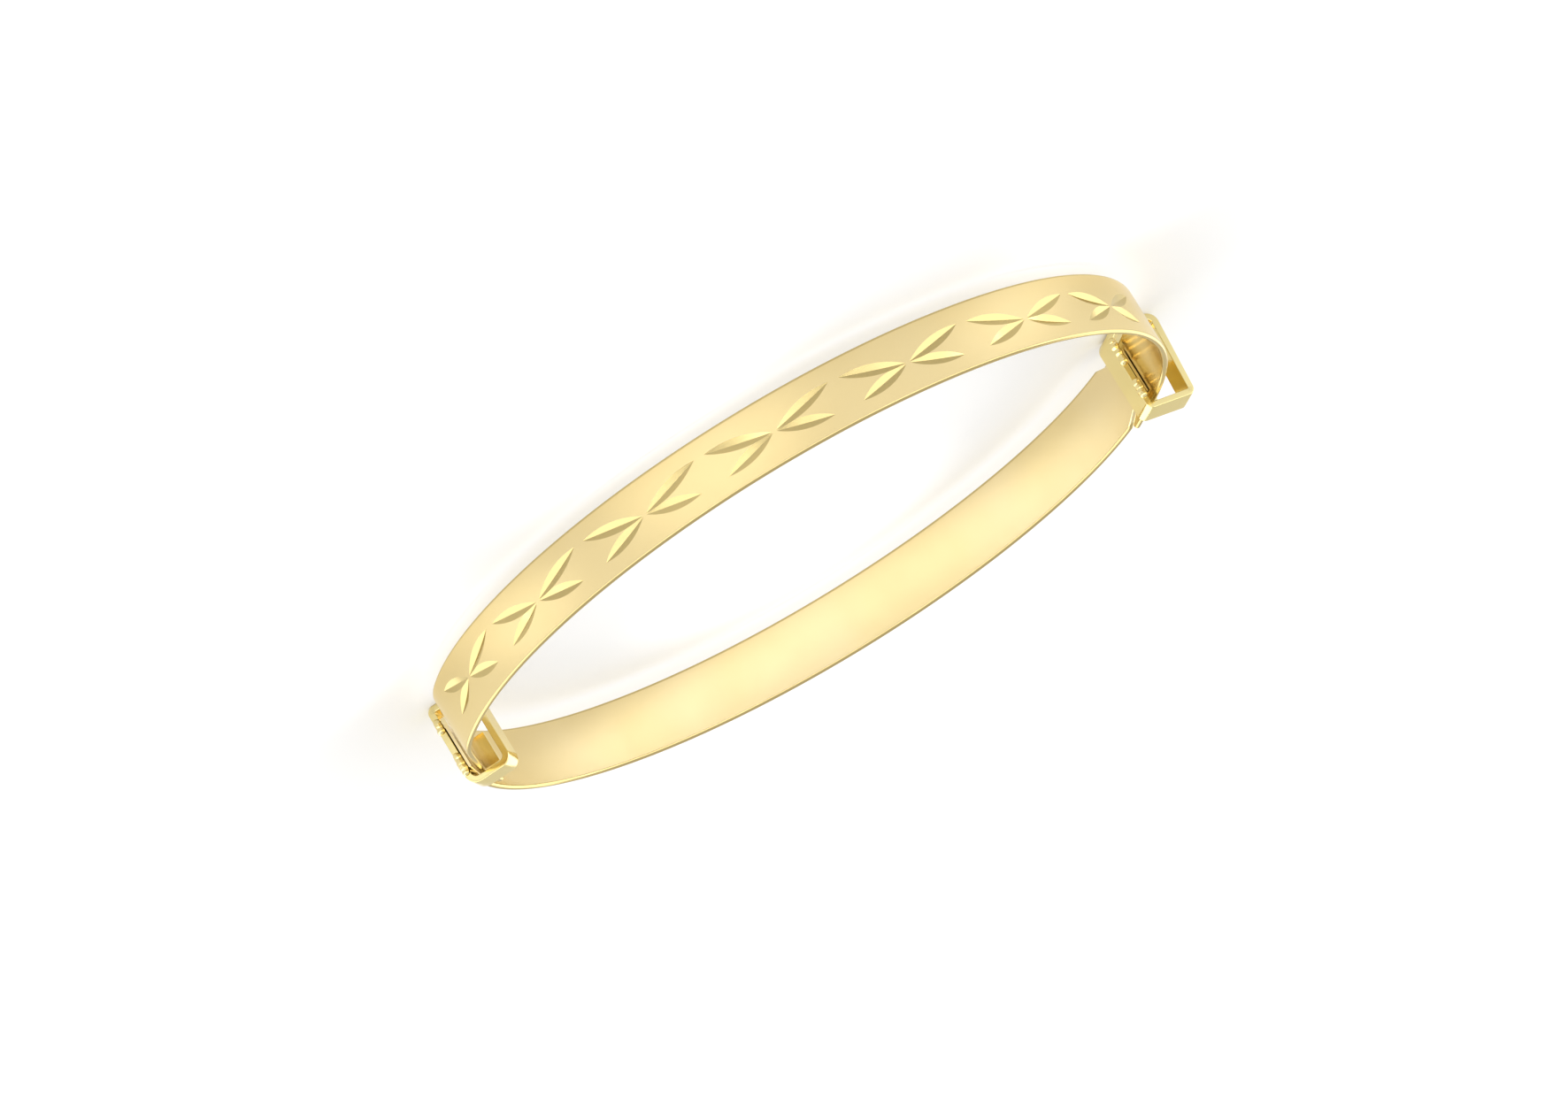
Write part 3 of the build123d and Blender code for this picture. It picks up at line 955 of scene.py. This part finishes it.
class BANGLE_OT_keepers(bpy.types.Operator):
    """Build the two rectangular keepers"""

    bl_idname = "bangle.keepers"
    bl_label = "Keepers"

    def execute(self, context):
        keeper = context.scene.bangle_keepers
        tree = keeper_tree(strip_group())
        for name, side, radius, reach, height, lean, drop in (
                ("left_keeper", 1, keeper.left_outside - keeper.left_reach / 2, keeper.left_reach,
                 keeper.left_height, 0.0, 0.0),
                ("right_keeper", -1, keeper.right_inside + keeper.right_reach / 2, keeper.right_reach,
                 keeper.right_height, keeper.right_lean, keeper.right_drop)):
            loop = tree_piece(f"{name}_gold", tree, golds()["keeper"], Reach=reach, Height=height,
                              Depth=keeper.depth, Wall=keeper.wall, Corner=keeper.corner,
                              Edge_round=FINE_EDGE, Lean=lean, Drop=drop)
            settle(loop, keeper_twist(side) @ keeper_matrix(side, radius, 0.0, height / 2))
            stand_in(loop, name, BACK_HALF)
        return {"FINISHED"}


# Heights of each bead's ends from the bands' middle, mm.
SOLDER_SPANS = {"left_solder": ((-1.95, -1.00), (0.28, 1.78)),
                "right_solder": ((-2.25, -0.45), (0.50, 1.75))}
GRAIN_STEP = 0.12 * MM
BEAD_SHORTER = 1.6  # grain radii that a row stops short of its bead's length


class BANGLE_OT_solder(bpy.types.Operator):
    """Build the rows of solder grains on the keepers' front edges"""

    bl_idname = "bangle.solder"
    bl_label = "Solder"

    def execute(self, context):
        keeper = context.scene.bangle_keepers
        tree = bead_tree()
        for name, side in (("left_solder", 1), ("right_solder", -1)):
            grains = []
            for index, (first, last) in enumerate(SOLDER_SPANS[name]):
                size = (last - first) * MM
                grain = tree_piece("grain", tree, golds()["solder"],
                                   Length=size - BEAD_SHORTER * keeper.bead_radius,
                                   Radius=keeper.bead_radius, Grains=max(3, round(size / GRAIN_STEP)),
                                   Seed=side * 3 + index + 5)
                radius = (keeper.left_outside if side > 0 else keeper.right_inside + keeper.wall) \
                    - keeper.wall / 2
                height = band_middle() + (first + last) / 2 * MM
                seat = keeper_matrix(side, radius, -keeper.depth / 2, height)
                settle(grain, keeper_twist(side) @ seat, sharp=radians(80))
                grains.append(grain)
            piece = join(grains, f"{name}_gold")
            stand_in(piece, name, BACK_HALF)
        return {"FINISHED"}


class BANGLE_OT_stops(bpy.types.Operator):
    """Build the small stops on the front band's two tails"""

    bl_idname = "bangle.stops"
    bl_label = "Stops"

    def execute(self, context):
        band, keeper = context.scene.bangle_bands, context.scene.bangle_keepers
        bar = bar_tree(strip_group())
        runs = front_runs()
        total = sum(run.length for run in runs)
        half = keeper.stop_thickness / 2
        for name, distance, rise, height in (
                ("left_stop", total - half, -band.thickness / 2, -keeper.left_stop),
                ("right_stop", half, band.thickness / 2, keeper.right_stop)):
            spot, outwards = along_runs(runs, distance)
            plate = tree_piece(f"{name}_gold", bar, golds()["keeper"], Length=abs(height),
                               Width=keeper.stop_width, Thickness=keeper.stop_thickness,
                               Edge_round=FINE_EDGE)
            start = spot + outwards * min(rise, rise + height)
            turned = Matrix((outwards, UP.cross(outwards), UP)).transposed().to_4x4()
            turned.translation = start + UP * band_middle()
            settle(plate, turned)
            stand_in(plate, name, FRONT_HALF)
        return {"FINISHED"}


BOX_RISE = radians(18)
# Soft boxes: name, angle round the ring in degrees, width and height in metres.
SOFT_BOXES = (("box_right_rear", -123, 2.1, 1.1), ("box_right", -60, 1.9, 0.8),
              ("box_front", 0, 1.9, 0.7), ("box_left", 60, 1.9, 0.8),
              ("box_left_rear", 128, 2.2, 1.1))
BOX_AWAY = 1.6
BOX_GLOW = 5.3  # watts per square metre of box

SPOT_HEIGHT = 0.5
# Spots that brighten patches of floor, which the polished strips mirror: name, place on the floor
# and radius in millimetres, and watts.
POOLS = (("pool_inside", (-2.0, 13.0), 11.0, 6.5), ("pool_left", (30.0, -12.0), 11.0, 4.6),
         ("pool_front", (11.0, -33.0), 15.0, 4.6), ("pool_right", (-24.0, -21.0), 11.0, 3.8))

WHITE = (1.0, 1.0, 1.0, 1)
SURROUND = 0.85  # strength of the even white surround
FLOOR_HALF = 6.0
FLOOR_GAP = 0.02 * MM
FLOOR_TONE = (0.86, 0.86, 0.86, 1)
AIM_RIGHT = 0.773 * MM  # the camera aims this far beside the ring's middle, in its own frame
AIM_ABOVE = 0.737 * MM


class BANGLE_OT_stage(bpy.types.Operator):
    """Lay the pale floor and set the lights and the camera"""

    bl_idname = "bangle.stage"
    bl_label = "Stage"

    def execute(self, context):
        scene, stage = context.scene, context.scene.bangle_stage
        scene.view_settings.view_transform = "Standard"
        self.floor(scene)
        self.lights(scene)
        world = bpy.data.worlds.new("studio")
        world.use_nodes = True
        world.node_tree.nodes["Background"].inputs["Color"].default_value = WHITE
        world.node_tree.nodes["Background"].inputs["Strength"].default_value = SURROUND
        scene.world = world
        self.camera(scene, stage)
        return {"FINISHED"}

    def floor(self, scene):
        """A plain pale sheet."""
        mesh = bpy.data.meshes.new("floor")
        corners = [(x * FLOOR_HALF, y * FLOOR_HALF, 0) for x, y in ((-1, -1), (1, -1), (1, 1), (-1, 1))]
        mesh.from_pydata(corners, [], [(0, 1, 2, 3)])
        material = bpy.data.materials.new("pale_floor")
        material.use_nodes = True
        surface = material.node_tree.nodes["Principled BSDF"]
        surface.inputs["Base Color"].default_value = FLOOR_TONE
        surface.inputs["Roughness"].default_value = 0.9
        surface.inputs["Specular IOR Level"].default_value = 0.1
        mesh.materials.append(material)
        floor = bpy.data.objects.new("floor", mesh)
        floor.location.z = -FLOOR_GAP
        scene.collection.objects.link(floor)

    def lights(self, scene):
        """Soft boxes round the front and narrow spots that pool light on the floor by the ring."""
        for name, turned, width, height in SOFT_BOXES:
            panel = bpy.data.lights.new(name, "AREA")
            panel.shape, panel.energy = "RECTANGLE", BOX_GLOW * width * height
            panel.size, panel.size_y = width, height
            lamp = bpy.data.objects.new(name, panel)
            spot = polar(BOX_AWAY * cos(BOX_RISE), radians(turned)) + UP * BOX_AWAY * sin(BOX_RISE)
            lamp.location = spot
            lamp.rotation_euler = (-spot).to_track_quat("-Z", "Y").to_euler()
            scene.collection.objects.link(lamp)
        for name, spot, reach, power in POOLS:
            light = bpy.data.lights.new(name, "SPOT")
            light.energy, light.spot_blend, light.shadow_soft_size = power, 1.0, 0.004
            light.spot_size = 2 * atan2(reach * MM, SPOT_HEIGHT)
            lamp = bpy.data.objects.new(name, light)
            lamp.visible_glossy = False
            lamp.location = Vector((spot[0] * MM, spot[1] * MM, SPOT_HEIGHT))
            scene.collection.objects.link(lamp)

    def camera(self, scene, stage):
        """Camera at the viewing angle, rolled about its axis."""
        turned, raised, rolled = stage.azimuth, stage.elevation, stage.roll
        back = Vector((sin(turned) * cos(raised), -cos(turned) * cos(raised), sin(raised)))
        level = Vector((cos(turned), sin(turned), 0))
        rise = back.cross(level)
        right = level * cos(rolled) + rise * sin(rolled)
        above = level * -sin(rolled) + rise * cos(rolled)
        lens = bpy.data.cameras.new("camera")
        lens.lens, lens.sensor_width = stage.lens, 36.0
        camera = bpy.data.objects.new("camera", lens)
        target = UP * band_middle() - right * AIM_RIGHT - above * AIM_ABOVE
        matrix = Matrix((right, above, back)).transposed().to_4x4()
        matrix.translation = target + back * stage.distance
        camera.matrix_world = matrix
        scene.collection.objects.link(camera)
        scene.camera = camera


class BANGLE_PT_panel(bpy.types.Panel):
    """Sizes, colours and the build steps in the sidebar"""

    bl_label = "Bangle"
    bl_idname = "BANGLE_PT_panel"
    bl_space_type = "VIEW_3D"
    bl_region_type = "UI"
    bl_category = "Bangle"

    def draw(self, context):
        for key, group in SETTINGS.items():
            box = self.layout.box()
            box.label(text=group.__doc__)
            for prop in group.__annotations__:
                box.prop(getattr(context.scene, key), prop)
        for operator in OPERATORS:
            self.layout.operator(operator.bl_idname)


SETTINGS = {"bangle_bands": BandSettings, "bangle_motifs": MotifSettings,
            "bangle_keepers": KeeperSettings, "bangle_gold": GoldSettings,
            "bangle_stage": StageSettings}
OPERATORS = (BANGLE_OT_front_band, BANGLE_OT_back_band, BANGLE_OT_keepers, BANGLE_OT_solder,
             BANGLE_OT_stops, BANGLE_OT_stage)


def register():
    for key, group in SETTINGS.items():
        bpy.utils.register_class(group)
        setattr(bpy.types.Scene, key, PointerProperty(type=group))
    for entry in (*OPERATORS, BANGLE_PT_panel):
        bpy.utils.register_class(entry)


def unregister():
    for entry in (BANGLE_PT_panel, *reversed(OPERATORS)):
        bpy.utils.unregister_class(entry)
    for key, group in reversed(SETTINGS.items()):
        delattr(bpy.types.Scene, key)
        bpy.utils.unregister_class(group)


def main():
    register()
    bpy.ops.bangle.front_band()
    bpy.ops.bangle.back_band()
    bpy.ops.bangle.keepers()
    bpy.ops.bangle.solder()
    bpy.ops.bangle.stops()
    bpy.ops.bangle.stage()


if __name__ == "__main__":
    main()
